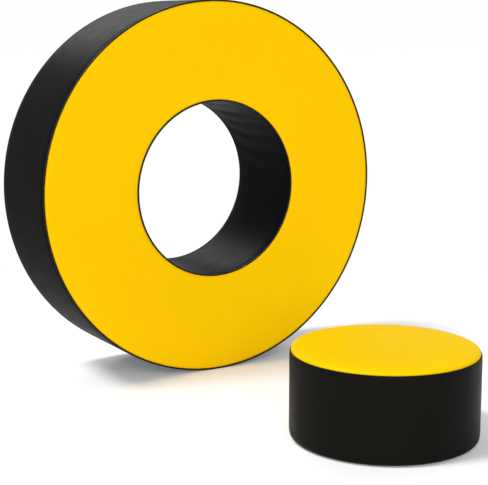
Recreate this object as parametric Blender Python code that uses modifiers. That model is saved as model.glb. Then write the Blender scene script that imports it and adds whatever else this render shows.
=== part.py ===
"""Tackle wheel: a foam ring in a yellow and black vinyl cover, with its lifted-out centre core.

Units are metres and +Z is up. The wheel stands on the floor on one flat facet of its tread, its
axis lies along Y and its photographed face looks towards -Y. The core stands on the floor in front.
"""

import math
from dataclasses import dataclass

import bmesh
import bpy
from mathutils import Matrix, Vector

COLLECTION = "tackle_wheel"
CUTTERS = "cutters"

# Wheel
WHEEL_RADIUS = 0.457
WHEEL_THICKNESS = 0.254
HOLE_RADIUS = 0.213
WHEEL_STEPS = 60
WHEEL_SLABS = 3

# Vinyl cover
VINYL = 0.0012
SEAT_GAP = 0.0003
FACE_ROLL = 0.012
FACE_KNEE_SHARE = 1 / 3
FACE_KNEE_DROP_SHARE = 0.25
BAND_DRAW = 0.0015
BAND_ROLL = 0.020
WELT_RADIUS = 0.0022
WELT_INSET = 0.0003
WELT_SIDES = 6

# Core
CORE_CLEARANCE = 0.013
CORE_HEIGHT = 0.202
CORE_SEAM_DROP = 0.016
CORE_SEAM_DRAW = 0.003
CORE_WELT_RADIUS = 0.0014
CORE_FOOT_DRAW = 0.005
CORE_FOOT_RISE = 0.0036
CORE_FOOT_ROLL = 0.012
CORE_SIDE_ROLL = 0.016
CORE_SPLIT = 0.100
CORE_FOAM_EASE = 0.0018
CORE_STEPS = 40
CORE_STAND_OFF = 0.428
CORE_SIDEWAYS = 0.040
# Crown of the core's top: share of the seam's radius, share of the height from seam to crown
CROWN_SHARES = (
    (0.0, 1.0),
    (0.35, 0.985),
    (0.62, 0.94),
    (0.80, 0.86),
    (0.90, 0.73),
    (0.955, 0.55),
    (0.987, 0.30),
    (1.0, 0.0),
)

# Zips
TAPE_WIDTH = 0.013
TAPE_THICKNESS = 0.0007
TAPE_SPLIT = 0.0008
CHAIN_WIDTH = 0.008
CHAIN_HEIGHT = 0.0022
CHAIN_BEVEL = 0.0007
CHAIN_SEAT = 0.0004
STOP_LENGTH = 0.004
STOP_OVERHANG = 0.001
STOP_MARGIN = 0.006
FOAM_SLIT = 0.006
WHEEL_ZIP_INSET = 0.045
WHEEL_ZIP_DEGREES = 330
WHEEL_ZIP_STEPS = 55
PATCH_THICKNESS = 0.0011
CORE_ZIP_HEIGHT = 0.040
CORE_ZIP_FIRST_STEP = 39
CORE_ZIP_STEPS = 15

# Zip slider and pull
SLIDER_LENGTH = 0.019
SLIDER_TAIL = 0.0125
SLIDER_NOSE = 0.0145
SLIDER_CORNER = 0.003
SLIDER_PLATE = 0.0012
SLIDER_PLAY = 0.0005
SLIDER_REST_GAP = 0.001
BAIL_LENGTH = 0.0105
BAIL_WIDTH = 0.0022
BAIL_BAR = 0.0012
BAIL_CORNER = 0.0018
PULL_BAR = 0.0016
PULL_PLAY = 0.0003
PULL_LENGTH = 0.034
PULL_WIDTH = 0.0076
PULL_TIP_WIDTH = 0.0098
PULL_WINDOW_WIDTH = 0.0034
PULL_WINDOW_LENGTH = 0.0062
CORNER_POINTS = 3

# Modelling allowances
CUT_OVERRUN = 0.002
POLE_MERGE = 0.00001
POINT_MERGE = 0.000001

# Colours
YELLOW = (0.92, 0.53, 0.008, 1.0)
BLACK = (0.012, 0.012, 0.011, 1.0)
FOAM = (0.62, 0.60, 0.54, 1.0)
TAPE_BLACK = (0.016, 0.016, 0.017, 1.0)
ZIP_BLACK = (0.025, 0.025, 0.027, 1.0)

# Sizes that follow
WELT_REACH = 2 * WELT_RADIUS + WELT_INSET
HALF_STEP = math.pi / WHEEL_STEPS
WHEEL_CENTRE_HEIGHT = WHEEL_RADIUS * math.cos(HALF_STEP)
HALF_THICKNESS = WHEEL_THICKNESS / 2
BAND_HALF = HALF_THICKNESS - 2 * WELT_RADIUS - SEAT_GAP
LINING = VINYL + SEAT_GAP
CORE_RADIUS = HOLE_RADIUS - CORE_CLEARANCE
CORE_Y = -(HALF_THICKNESS + CORE_STAND_OFF + CORE_RADIUS)
CORE_SEAM_HEIGHT = CORE_HEIGHT - CORE_SEAM_DROP
BAIL_SWING = PULL_BAR * math.sqrt(0.5) + PULL_PLAY


def clear_scene():
    for thing in list(bpy.data.objects):
        bpy.data.objects.remove(thing, do_unlink=True)


def collection(name):
    made = bpy.data.collections.new(name)
    bpy.context.scene.collection.children.link(made)
    return made


def finish(name, colour, roughness, metallic=0.0):
    material = bpy.data.materials.new(name)
    material.use_nodes = True
    material.diffuse_color = colour
    shader = material.node_tree.nodes["Principled BSDF"]
    shader.inputs["Base Color"].default_value = colour
    shader.inputs["Roughness"].default_value = roughness
    shader.inputs["Metallic"].default_value = metallic
    return material


def add(name, data, parent, material, place=None):
    """Links an object of this data under its parent, at a place in the parent's own axes."""
    made = bpy.data.objects.new(name, data)
    bpy.data.collections[COLLECTION].objects.link(made)
    made.parent = parent
    made.matrix_local = place or Matrix.Identity(4)
    data.materials.append(material)
    return made


def line_mesh(name, points, closed, turned):
    """A mesh of edges only, with its (radius, height) points in the plane at the angle turned."""
    count = len(points)
    corners = [(r * math.cos(turned), r * math.sin(turned), z) for r, z in points]
    edges = [(i, (i + 1) % count) for i in range(count if closed else count - 1)]
    mesh = bpy.data.meshes.new(name)
    mesh.from_pydata(corners, edges, [])
    return mesh


def turn(made, steps):
    screw = made.modifiers.new("turn", "SCREW")
    screw.axis = "Z"
    screw.angle = math.tau
    screw.steps = steps
    screw.render_steps = steps
    screw.use_merge_vertices = True
    screw.merge_threshold = POLE_MERGE
    screw.use_smooth_shade = False
    return made


def turned_shell(name, points, steps, parent, material):
    """A vinyl skin. Its outline runs so that the outside lies to its left, and it thickens inwards."""
    turned = math.pi / steps
    made = add(name, line_mesh(name, points, False, turned), parent, material)
    turn(made, steps)
    thicken = made.modifiers.new("vinyl", "SOLIDIFY")
    thicken.thickness = VINYL
    thicken.offset = -1.0
    thicken.use_even_offset = True
    thicken.use_rim = True
    return made


def clockwise(points):
    """The same closed outline, run clockwise with radius to the right and height up."""
    ahead = points[1:] + points[:1]
    area = sum(a[0] * b[1] - b[0] * a[1] for a, b in zip(points, ahead))
    return points[::-1] if area > 0 else points


def turned_ring(name, points, steps, parent, material):
    """A solid ring from a closed outline."""
    made = add(name, line_mesh(name, clockwise(points), True, math.pi / steps), parent, material)
    return turn(made, steps)


def turned_plug(name, points, steps, parent, material):
    """A solid from an open outline that starts at the top of the axis and ends at its foot."""
    made = add(name, line_mesh(name, points, False, math.pi / steps), parent, material)
    return turn(made, steps)


def arc_solid(name, outline, start, sweep, steps, parent, material):
    """A closed outline of (radius, height) points, spun about Z from start through sweep."""
    sketch = bmesh.new()
    corners = [
        sketch.verts.new((r * math.cos(start), r * math.sin(start), z)) for r, z in outline
    ]
    sketch.faces.new(corners)
    bmesh.ops.spin(
        sketch,
        geom=sketch.verts[:] + sketch.edges[:] + sketch.faces[:],
        cent=(0, 0, 0),
        axis=(0, 0, 1),
        angle=sweep,
        steps=steps,
        use_duplicate=False,
    )
    bmesh.ops.recalc_face_normals(sketch, faces=sketch.faces[:])
    mesh = bpy.data.meshes.new(name)
    sketch.to_mesh(mesh)
    sketch.free()
    return add(name, mesh, parent, material)


def circle_points(centre, radius, sides):
    angles = [math.tau * (i + 0.5) / sides for i in range(sides)]
    return [(centre[0] + radius * math.cos(a), centre[1] + radius * math.sin(a)) for a in angles]


def rounded(points, radius):
    """A closed outline with each corner replaced by a short arc of this radius."""
    result = []
    for i, corner in enumerate(points):
        here = Vector(corner)
        before = (Vector(points[i - 1]) - here).normalized()
        after = (Vector(points[(i + 1) % len(points)]) - here).normalized()
        half = before.angle(after) / 2
        reach = radius / math.tan(half)
        middle = here + (before + after).normalized() * radius / math.sin(half)
        first = here + before * reach - middle
        last = here + after * reach - middle
        for k in range(CORNER_POINTS + 1):
            share = k / CORNER_POINTS
            spoke = first.lerp(last, share).normalized() * radius
            result.append(tuple(middle + spoke))
    return result


def flat_outline(name, outlines, thickness):
    """A mesh of a flat plate, in XY and centred on Z, from its outline and those of its holes."""
    curve = bpy.data.curves.new(name, "CURVE")
    curve.dimensions = "2D"
    curve.fill_mode = "BOTH"
    curve.extrude = thickness / 2
    for outline in outlines:
        spline = curve.splines.new("POLY")
        spline.points.add(len(outline) - 1)
        for point, (x, y) in zip(spline.points, outline):
            point.co = (x, y, 0, 1)
        spline.use_cyclic_u = True
    sketch = bpy.data.objects.new(name, curve)
    bpy.context.scene.collection.objects.link(sketch)
    bpy.context.view_layer.update()
    graph = bpy.context.evaluated_depsgraph_get()
    mesh = bpy.data.meshes.new_from_object(sketch.evaluated_get(graph))
    bpy.data.objects.remove(sketch)
    bpy.data.curves.remove(curve)
    weld = bmesh.new()
    weld.from_mesh(mesh)
    bmesh.ops.remove_doubles(weld, verts=weld.verts[:], dist=POINT_MERGE)
    bmesh.ops.recalc_face_normals(weld, faces=weld.faces[:])
    weld.to_mesh(mesh)
    weld.free()
    return mesh


def block(name, low, high):
    """A mesh box between two corners."""
    low, high = Vector(low), Vector(high)
    middle = Matrix.Translation((low + high) / 2)
    size = Matrix.Diagonal((*(high - low), 1))
    sketch = bmesh.new()
    bmesh.ops.create_cube(sketch, size=1, matrix=middle @ size)
    mesh = bpy.data.meshes.new(name)
    sketch.to_mesh(mesh)
    sketch.free()
    return mesh


def tool(name, mesh, parent, place):
    """A hidden object that cuts or joins another."""
    made = bpy.data.objects.new(name, mesh)
    bpy.data.collections[CUTTERS].objects.link(made)
    made.parent = parent
    made.matrix_local = place
    made.hide_render = True
    made.display_type = "WIRE"
    return made


def combine(target, other, operation):
    boolean = target.modifiers.new(other.name, "BOOLEAN")
    boolean.operation = operation
    boolean.solver = "EXACT"
    boolean.object = other


@dataclass
class ZipLine:
    """A zip that runs round Z, on a flat face that looks up or on a wall that looks outwards."""

    name: str
    on_wall: bool
    radius: float
    height: float
    start: float
    sweep: float
    steps: int

    def section(self, points):
        """Turns (across, outwards) points into (radius, height) points."""
        if self.on_wall:
            return [(self.radius + out, self.height + across) for across, out in points]
        return [(self.radius + across, self.height + out) for across, out in points]

    def frame(self, angle):
        """The axes along, across and out of the zip at this angle, and the point below it."""
        outwards = Vector((math.cos(angle), math.sin(angle), 0))
        along = Vector((-math.sin(angle), math.cos(angle), 0)) * math.copysign(1, self.sweep)
        normal = outwards if self.on_wall else Vector((0, 0, 1))
        across = normal.cross(along)
        origin = outwards * self.radius + Vector((0, 0, self.height))
        axes = Matrix((along, across, normal)).transposed().to_4x4()
        return Matrix.Translation(origin) @ axes

    def angle(self, distance):
        """The angle at this distance along the zip from its start."""
        return self.start + math.copysign(distance / self.radius, self.sweep)


def box_outline(low, high, bottom, top):
    return [(low, bottom), (low, top), (high, top), (high, bottom)]


def zip_heights():
    tape = SEAT_GAP + TAPE_THICKNESS
    chain_base = tape + CHAIN_SEAT
    chain_top = chain_base + CHAIN_HEIGHT
    plate_base = chain_top + SLIDER_PLAY
    plate_top = plate_base + SLIDER_PLATE
    return tape, chain_base, chain_top, plate_base, plate_top


def zip_tapes_and_chain(line, parent, tape_material, chain_material):
    tape, chain_base, chain_top, _, _ = zip_heights()
    for side, name in ((-1, "lower"), (1, "upper")):
        edges = sorted((side * TAPE_SPLIT / 2, side * (TAPE_SPLIT / 2 + TAPE_WIDTH)))
        outline = line.section(box_outline(*edges, SEAT_GAP, tape))
        full = f"{line.name}_zip_tape_{name}"
        arc_solid(full, outline, line.start, line.sweep, line.steps, parent, tape_material)
    half = CHAIN_WIDTH / 2
    bead = [
        (-half, chain_base),
        (-half, chain_top - CHAIN_BEVEL),
        (CHAIN_BEVEL - half, chain_top),
        (half - CHAIN_BEVEL, chain_top),
        (half, chain_top - CHAIN_BEVEL),
        (half, chain_base),
    ]
    chain_start = line.angle(STOP_MARGIN + STOP_LENGTH + SEAT_GAP)
    chain_sweep = line.sweep - 2 * (chain_start - line.start)
    name = f"{line.name}_zip_chain"
    steps = 2 * line.steps
    arc_solid(name, line.section(bead), chain_start, chain_sweep, steps, parent, chain_material)
    length = abs(line.sweep) * line.radius
    for end, middle in (("start", STOP_MARGIN), ("end", length - STOP_MARGIN - STOP_LENGTH)):
        half_width = half + STOP_OVERHANG
        mesh = block(
            f"{line.name}_zip_stop_{end}",
            (-STOP_LENGTH / 2, -half_width, chain_base),
            (STOP_LENGTH / 2, half_width, chain_top),
        )
        mesh.transform(line.frame(line.angle(middle + STOP_LENGTH / 2)))
        add(mesh.name, mesh, parent, chain_material)


def slider_rest(line):
    """The angle at which the slider rests, beside the zip's first stop."""
    return line.angle(STOP_MARGIN + STOP_LENGTH + SLIDER_REST_GAP + SLIDER_LENGTH / 2)


def slider_travel(line):
    """How far the slider turns, from the first stop to the last."""
    return abs(line.sweep) - 2 * abs(slider_rest(line) - line.start)


def pivot_height():
    return zip_heights()[4] + BAIL_SWING


def zip_slider(line, parent, material):
    """The slider: a tapered plate with two flanges round the chain, and a bail for the pull."""
    tape, _, _, plate_base, plate_top = zip_heights()
    place = line.frame(slider_rest(line))
    name = f"{line.name}_zip_slider"
    half = SLIDER_LENGTH / 2
    wedge = [
        (-half, -SLIDER_TAIL / 2),
        (half, -SLIDER_NOSE / 2),
        (half, SLIDER_NOSE / 2),
        (-half, SLIDER_TAIL / 2),
    ]
    foot = tape + SLIDER_PLAY
    body = flat_outline(name, [rounded(wedge, SLIDER_CORNER)], plate_top - foot)
    body.transform(place @ Matrix.Translation((0, 0, (plate_top + foot) / 2)))
    made = add(name, body, parent, material)

    channel_half = CHAIN_WIDTH / 2 + SLIDER_PLAY
    reach = half + CUT_OVERRUN
    channel = block(
        f"{name}_channel", (-reach, -channel_half, foot - CUT_OVERRUN), (reach, channel_half, plate_base)
    )
    combine(made, tool(channel.name, channel, parent, place), "DIFFERENCE")

    arch_top = pivot_height() + BAIL_SWING + BAIL_BAR
    sunk = plate_top - SLIDER_PLATE / 2
    outer = BAIL_LENGTH / 2
    inner = outer - BAIL_BAR
    under = arch_top - BAIL_BAR
    arch = [
        (-outer, sunk),
        (-outer, arch_top - BAIL_CORNER),
        (BAIL_CORNER - outer, arch_top),
        (outer - BAIL_CORNER, arch_top),
        (outer, arch_top - BAIL_CORNER),
        (outer, sunk),
        (inner, sunk),
        (inner, under),
        (-inner, under),
        (-inner, sunk),
    ]
    bail = flat_outline(f"{name}_bail", [arch], BAIL_WIDTH)
    upright = Matrix.Rotation(math.pi / 2, 4, "X")
    combine(made, tool(bail.name, bail, parent, place @ upright), "UNION")
    return made


def zip_pull(line, parent, material):
    """The pull: a flat tab whose window goes over the bail and whose end bar turns under it."""
    half_bar = PULL_BAR / 2
    half, tip = PULL_WIDTH / 2, PULL_TIP_WIDTH / 2
    window = PULL_WINDOW_WIDTH / 2
    outline = [(half_bar, -half), (half_bar, half), (-PULL_LENGTH, tip), (-PULL_LENGTH, -tip)]
    hole = [
        (-half_bar - PULL_WINDOW_LENGTH, -window),
        (-half_bar - PULL_WINDOW_LENGTH, window),
        (-half_bar, window),
        (-half_bar, -window),
    ]
    mesh = flat_outline(f"{line.name}_zip_pull", [rounded(outline, half_bar), hole], PULL_BAR)
    place = line.frame(slider_rest(line)) @ Matrix.Translation((0, 0, pivot_height()))
    return add(mesh.name, mesh, parent, material, place)


def wheel_foam(axis, material):
    """The ring of foam: slabs glued face to face, the end ones eased under the seams."""
    full_out, full_in = WHEEL_RADIUS - LINING, HOLE_RADIUS + LINING
    edge_out, edge_in = full_out - BAND_DRAW, full_in + BAND_DRAW
    face_out = WHEEL_RADIUS - WELT_REACH - FACE_ROLL
    face_in = HOLE_RADIUS + WELT_REACH + FACE_ROLL
    top = HALF_THICKNESS - LINING
    shoulder = BAND_HALF - SEAT_GAP
    straight = BAND_HALF - BAND_ROLL
    names = ("front", "middle", "back")
    for i in range(WHEEL_SLABS):
        low = -top + 2 * top * i / WHEEL_SLABS + (SEAT_GAP / 2 if i else 0)
        high = -top + 2 * top * (i + 1) / WHEEL_SLABS - (SEAT_GAP / 2 if i < WHEEL_SLABS - 1 else 0)
        bottom = [(full_in, low), (full_out, low)]
        crown = [(full_out, high), (full_in, high)]
        if i == 0:
            bottom = [
                (full_in, -straight),
                (edge_in, -shoulder),
                (face_in, low),
                (face_out, low),
                (edge_out, -shoulder),
                (full_out, -straight),
            ]
        if i == WHEEL_SLABS - 1:
            crown = [
                (full_out, straight),
                (edge_out, shoulder),
                (face_out, high),
                (face_in, high),
                (edge_in, shoulder),
                (full_in, straight),
            ]
        name = f"wheel_foam_{names[i] if WHEEL_SLABS == len(names) else i}"
        turned_ring(name, bottom + crown, WHEEL_STEPS, axis, material)


def face_outline(inner, outer):
    """The back face from hole to rim; each edge falls to the middle height of its welt."""
    seam = HALF_THICKNESS - WELT_RADIUS
    knee = HALF_THICKNESS - WELT_RADIUS * FACE_KNEE_DROP_SHARE
    return [
        (inner, seam),
        (inner + FACE_ROLL * FACE_KNEE_SHARE, knee),
        (inner + FACE_ROLL, HALF_THICKNESS),
        (outer - FACE_ROLL, HALF_THICKNESS),
        (outer - FACE_ROLL * FACE_KNEE_SHARE, knee),
        (outer, seam),
    ]


def wheel_faces(axis, yellow):
    """One panel in front; behind, two rings that meet under the zip."""
    inner = HOLE_RADIUS + WELT_REACH + SEAT_GAP
    outer = WHEEL_RADIUS - WELT_REACH - SEAT_GAP
    back = face_outline(inner, outer)
    front = [(r, -z) for r, z in back[::-1]]
    turned_shell("wheel_face_front", front, WHEEL_STEPS, axis, yellow)
    zip_radius = WHEEL_RADIUS - WHEEL_ZIP_INSET
    near = [*back[:3], (zip_radius - FOAM_SLIT / 2, HALF_THICKNESS)]
    far = [(zip_radius + FOAM_SLIT / 2, HALF_THICKNESS), *back[3:]]
    turned_shell("wheel_face_back_inner", near, WHEEL_STEPS, axis, yellow)
    turned_shell("wheel_face_back_outer", far, WHEEL_STEPS, axis, yellow)


def wheel_bands(axis, black):
    """The tread round the rim and the sleeve through the hole."""
    straight = BAND_HALF - BAND_ROLL
    tread = [
        (WHEEL_RADIUS - BAND_DRAW, BAND_HALF),
        (WHEEL_RADIUS, straight),
        (WHEEL_RADIUS, -straight),
        (WHEEL_RADIUS - BAND_DRAW, -BAND_HALF),
    ]
    sleeve = [
        (HOLE_RADIUS + BAND_DRAW, -BAND_HALF),
        (HOLE_RADIUS, -straight),
        (HOLE_RADIUS, straight),
        (HOLE_RADIUS + BAND_DRAW, BAND_HALF),
    ]
    turned_shell("wheel_tread_band", tread, WHEEL_STEPS, axis, black)
    turned_shell("wheel_sleeve_band", sleeve, WHEEL_STEPS, axis, black)


def wheel_welts(axis, black):
    """Piping in the four seams, flush with the faces and just inside the tread."""
    height = HALF_THICKNESS - WELT_RADIUS
    rim = WHEEL_RADIUS - WELT_INSET - WELT_RADIUS
    hole = HOLE_RADIUS + WELT_INSET + WELT_RADIUS
    for side, z in (("front", -height), ("back", height)):
        for edge, radius in (("rim", rim), ("hole", hole)):
            points = circle_points((radius, z), WELT_RADIUS, WELT_SIDES)
            turned_ring(f"wheel_welt_{side}_{edge}", points, WHEEL_STEPS, axis, black)


def wheel_zip_line():
    """The wheel's zip, on its back face, with the slider at rest at the height of the centre."""
    line = ZipLine(
        name="wheel",
        on_wall=False,
        radius=WHEEL_RADIUS - WHEEL_ZIP_INSET,
        height=HALF_THICKNESS,
        start=0.0,
        sweep=-math.radians(WHEEL_ZIP_DEGREES),
        steps=WHEEL_ZIP_STEPS,
    )
    line.start = -slider_rest(line)
    return line


def wheel_zip_patch(line, axis, black):
    """A vinyl patch over the slit where the zip's two ends meet."""
    width = TAPE_SPLIT / 2 + TAPE_WIDTH
    outline = line.section(box_outline(-width, width, SEAT_GAP, SEAT_GAP + PATCH_THICKNESS))
    spare = SEAT_GAP / line.radius
    start = line.start + spare
    sweep = math.tau - abs(line.sweep) - 2 * spare
    steps = WHEEL_STEPS - WHEEL_ZIP_STEPS
    arc_solid("wheel_zip_patch", outline, start, sweep, steps, axis, black)


def core_side_levels():
    """Where the core's wall starts and ends, clear of its two welts."""
    foot = CORE_FOOT_RISE + 2 * CORE_WELT_RADIUS + SEAT_GAP
    head = CORE_SEAM_HEIGHT - 2 * SEAT_GAP
    return foot, head


def core_crown(radius, rise, base):
    """The crowned top from its middle to its seam, from the shares."""
    return [(radius * across, base + rise * up) for across, up in CROWN_SHARES]


def core_covers(axis, yellow, black):
    """The crowned yellow top, the black wall and the black base."""
    foot, head = core_side_levels()
    seam_radius = CORE_RADIUS - CORE_SEAM_DRAW
    top = core_crown(seam_radius, CORE_SEAM_DROP, CORE_SEAM_HEIGHT)
    turned_shell("core_top", top, CORE_STEPS, axis, yellow)
    wall = [
        (CORE_RADIUS - CORE_SEAM_DRAW / 2, head),
        (CORE_RADIUS, head - CORE_SIDE_ROLL),
        (CORE_RADIUS, foot + CORE_SIDE_ROLL),
        (CORE_RADIUS - CORE_FOOT_DRAW / 2, foot),
    ]
    turned_shell("core_side_band", wall, CORE_STEPS, axis, black)
    edge = CORE_RADIUS - CORE_FOOT_DRAW - CORE_WELT_RADIUS - SEAT_GAP
    base = [(edge, CORE_FOOT_RISE), (edge - CORE_FOOT_ROLL, 0), (0, 0)]
    turned_shell("core_base", base, CORE_STEPS, axis, black)


def core_welts(axis, black):
    """A thin cord in the seam below the top and one in the seam round the base."""
    levels = {
        "top": (
            CORE_RADIUS - CORE_SEAM_DRAW - CORE_WELT_RADIUS - VINYL,
            CORE_SEAM_HEIGHT - CORE_WELT_RADIUS - VINYL,
        ),
        "base": (CORE_RADIUS - CORE_FOOT_DRAW, CORE_FOOT_RISE + CORE_WELT_RADIUS),
    }
    for name, centre in levels.items():
        points = circle_points(centre, CORE_WELT_RADIUS, WELT_SIDES)
        turned_ring(f"core_welt_{name}", points, CORE_STEPS, axis, black)


def core_foam(axis, material):
    """Two glued discs of foam, the upper one crowned."""
    foot, head = core_side_levels()
    full = CORE_RADIUS - LINING
    base_edge = CORE_RADIUS - CORE_FOOT_DRAW - 2 * CORE_WELT_RADIUS - 2 * SEAT_GAP
    lower = [
        (0, CORE_SPLIT - SEAT_GAP),
        (full, CORE_SPLIT - SEAT_GAP),
        (full, foot + CORE_SIDE_ROLL),
        (full - CORE_FOOT_DRAW / 2, foot + SEAT_GAP),
        (base_edge, CORE_FOOT_RISE + LINING),
        (base_edge - CORE_FOOT_ROLL, LINING),
        (0, LINING),
    ]
    turned_plug("core_foam_lower", lower, CORE_STEPS, axis, material)
    under_seam = CORE_RADIUS - CORE_SEAM_DRAW - CORE_FOAM_EASE
    crown = core_crown(under_seam, CORE_SEAM_DROP - CORE_FOAM_EASE, CORE_SEAM_HEIGHT)
    neck = CORE_RADIUS - CORE_SEAM_DRAW - 2 * CORE_WELT_RADIUS - VINYL - SEAT_GAP
    upper = [
        *crown[:-1],
        (neck, CORE_SEAM_HEIGHT),
        (neck, head - CORE_SEAM_DROP / 2),
        (full, head - CORE_SIDE_ROLL),
        (full, CORE_SPLIT),
        (0, CORE_SPLIT),
    ]
    turned_plug("core_foam_upper", upper, CORE_STEPS, axis, material)


def core_zip_line():
    """The core's zip, on its wall just above the base, on the side turned from the camera."""
    step = math.tau / CORE_STEPS
    return ZipLine(
        name="core",
        on_wall=True,
        radius=CORE_RADIUS,
        height=CORE_ZIP_HEIGHT,
        start=step * (CORE_ZIP_FIRST_STEP - CORE_STEPS + 0.5),
        sweep=step * CORE_ZIP_STEPS,
        steps=CORE_ZIP_STEPS,
    )


def empty(name, place):
    made = bpy.data.objects.new(name, None)
    bpy.data.collections[COLLECTION].objects.link(made)
    made.matrix_world = place
    return made


def report(line, axis, name):
    """Prints a zip's joint values: its travel, and its pull's pivot and axis."""
    pivot = axis.matrix_world @ line.frame(slider_rest(line)) @ Vector((0, 0, pivot_height()))
    across = (axis.matrix_world @ line.frame(slider_rest(line))).to_3x3() @ Vector((0, 1, 0))
    print(name, "travel degrees", round(math.degrees(slider_travel(line)), 3))
    print(name, "pull pivot", [round(v, 6) for v in pivot], "across", [round(v, 6) for v in across])


def build():
    clear_scene()
    collection(COLLECTION)
    collection(CUTTERS)
    yellow = finish("yellow_vinyl", YELLOW, 0.42)
    black = finish("black_vinyl", BLACK, 0.45)
    foam = finish("foam", FOAM, 0.95)
    tape = finish("zip_tape", TAPE_BLACK, 0.85)
    chain = finish("zip_plastic", ZIP_BLACK, 0.4)
    metal = finish("zip_metal", ZIP_BLACK, 0.35, 1.0)

    upright = Matrix.Rotation(-math.pi / 2, 4, "X")
    wheel_axis = empty("wheel_axis", Matrix.Translation((0, 0, WHEEL_CENTRE_HEIGHT)) @ upright)
    core_axis = empty("core_axis", Matrix.Translation((CORE_SIDEWAYS, CORE_Y, 0)))
    bpy.context.view_layer.update()

    wheel_foam(wheel_axis, foam)
    wheel_faces(wheel_axis, yellow)
    wheel_bands(wheel_axis, black)
    wheel_welts(wheel_axis, black)
    wheel_line = wheel_zip_line()
    wheel_zip_patch(wheel_line, wheel_axis, black)
    core_foam(core_axis, foam)
    core_covers(core_axis, yellow, black)
    core_welts(core_axis, black)
    core_line = core_zip_line()
    for line, axis in ((wheel_line, wheel_axis), (core_line, core_axis)):
        zip_tapes_and_chain(line, axis, tape, chain)
        zip_slider(line, axis, metal)
        zip_pull(line, axis, metal)
        report(line, axis, line.name)


if __name__ == "__main__":
    build()
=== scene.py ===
"""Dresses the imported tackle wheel: vinyl covers, piping, foam, zips, and the stage they stand on."""

import math
from dataclasses import dataclass

import bmesh
import bpy
import numpy as np
from bpy.props import FloatProperty, FloatVectorProperty, IntProperty, PointerProperty
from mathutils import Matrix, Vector


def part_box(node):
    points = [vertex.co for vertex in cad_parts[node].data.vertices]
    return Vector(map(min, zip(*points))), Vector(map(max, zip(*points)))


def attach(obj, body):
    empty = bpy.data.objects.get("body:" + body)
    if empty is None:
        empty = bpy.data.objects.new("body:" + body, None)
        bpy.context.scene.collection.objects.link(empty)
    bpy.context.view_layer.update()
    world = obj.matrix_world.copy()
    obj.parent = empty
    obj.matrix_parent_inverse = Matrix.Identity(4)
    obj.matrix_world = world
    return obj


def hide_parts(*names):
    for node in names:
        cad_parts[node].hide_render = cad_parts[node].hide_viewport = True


bl_info = {
    "name": "Tackle wheel",
    "version": (1, 0, 0),
    "blender": (4, 5, 0),
    "location": "3D View > Sidebar > Tackle wheel",
    "description": "Builds the covers, piping and zips of a tackle wheel and its core",
    "category": "Object",
}

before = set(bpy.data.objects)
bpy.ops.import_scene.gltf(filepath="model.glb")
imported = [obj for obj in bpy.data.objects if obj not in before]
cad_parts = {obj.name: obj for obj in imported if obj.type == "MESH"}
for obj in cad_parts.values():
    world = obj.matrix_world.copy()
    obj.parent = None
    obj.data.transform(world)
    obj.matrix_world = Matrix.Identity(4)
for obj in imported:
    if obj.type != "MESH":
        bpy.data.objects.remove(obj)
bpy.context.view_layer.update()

# Places and heights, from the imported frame
WALL_BOX = np.array(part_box("core_side_band"), float)
WHEEL_HEIGHT = np.array(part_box("wheel_tread_band"), float)[:, 2].mean()
HALF_THICKNESS = -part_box("wheel_face_front")[0][1]
CORE_X, CORE_Y = WALL_BOX[:, :2].mean(0)
SEAM_HEIGHT, CROWN_HEIGHT = np.array(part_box("core_top"), float)[:, 2]

# Points round a piece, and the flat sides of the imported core
AROUND = 480
CORE_AROUND = 360
SLEEVE_AROUND = 320
FOAM_AROUND = 240
CORE_FOAM_AROUND = 200
CORE_SIDES = 40

# Gathers beside a seam: how far they reach from it, and their waves round the piece
RIM_GATHERS = (0.016, 96)
HOLE_GATHERS = (0.014, 52)
TREAD_GATHERS = (0.018, 88)
CORE_GATHERS = (0.010, 60)

# Heights of gathers and folds; a share is one of the sleeve's fold depth
FACE_GATHER = 0.00022
BAND_GATHER = 0.00025
CORE_FOLD = 0.00025
TREAD_SHARE = 1 / 8
LAID_SHARE = 0.4

# Small sizes of the wheel
SOFT_BEND = 0.0004
HALF_SLIT = 0.003
CORD_WOBBLE = 0.025
CORD_WAVES = (61, 23)

# Small sizes of the core; foot and shoulder hold points, in from the foam's side and up or down
FOAM_HEM = 0.018
FOAM_FOOT = ((0.002, 0.014), (0.0, 0.024))
FOAM_SHOULDER = ((0.006, 0.012), (0.0, 0.020))
FOAM_CROWN_INSET = 0.005
FOAM_CROWN_DROP = 0.002
TOP_INSET = 0.003
TOP_SEAM = 0.0005
FOOT_DRAW = 0.0025
HEAD_DRAW = 0.0015
BASE_ROLL = 0.012
BASE_LIFT = 0.0002

# Small sizes of the zips
TAPE_STEP = 0.0035
TAPE_ROWS = 9
RIDGE_PLACE = 0.0045
RIDGE_WIDTH = 0.0008
RIDGE_HEIGHT = 0.00012
WEAVE_LENGTH = 0.0022
WEAVE_HEIGHT = 0.00006
CHAIN_SEAT = 0.0004
FIRST_TOOTH = 0.0105
TOOTH_START = 0.25
TOOTH_SHARE = 0.46
TOOTH_LAP = 0.0008
STITCH_INSET = 0.0025
STITCH_SEAT = 0.00005
STITCH_SHARE = 0.74
STITCH_SECTION = (0.0007, 0.0006)
PATCH_TOP = 0.0014
PATCH_SWELL = 0.00025
PATCH_THICKNESS = 0.0011

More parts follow.
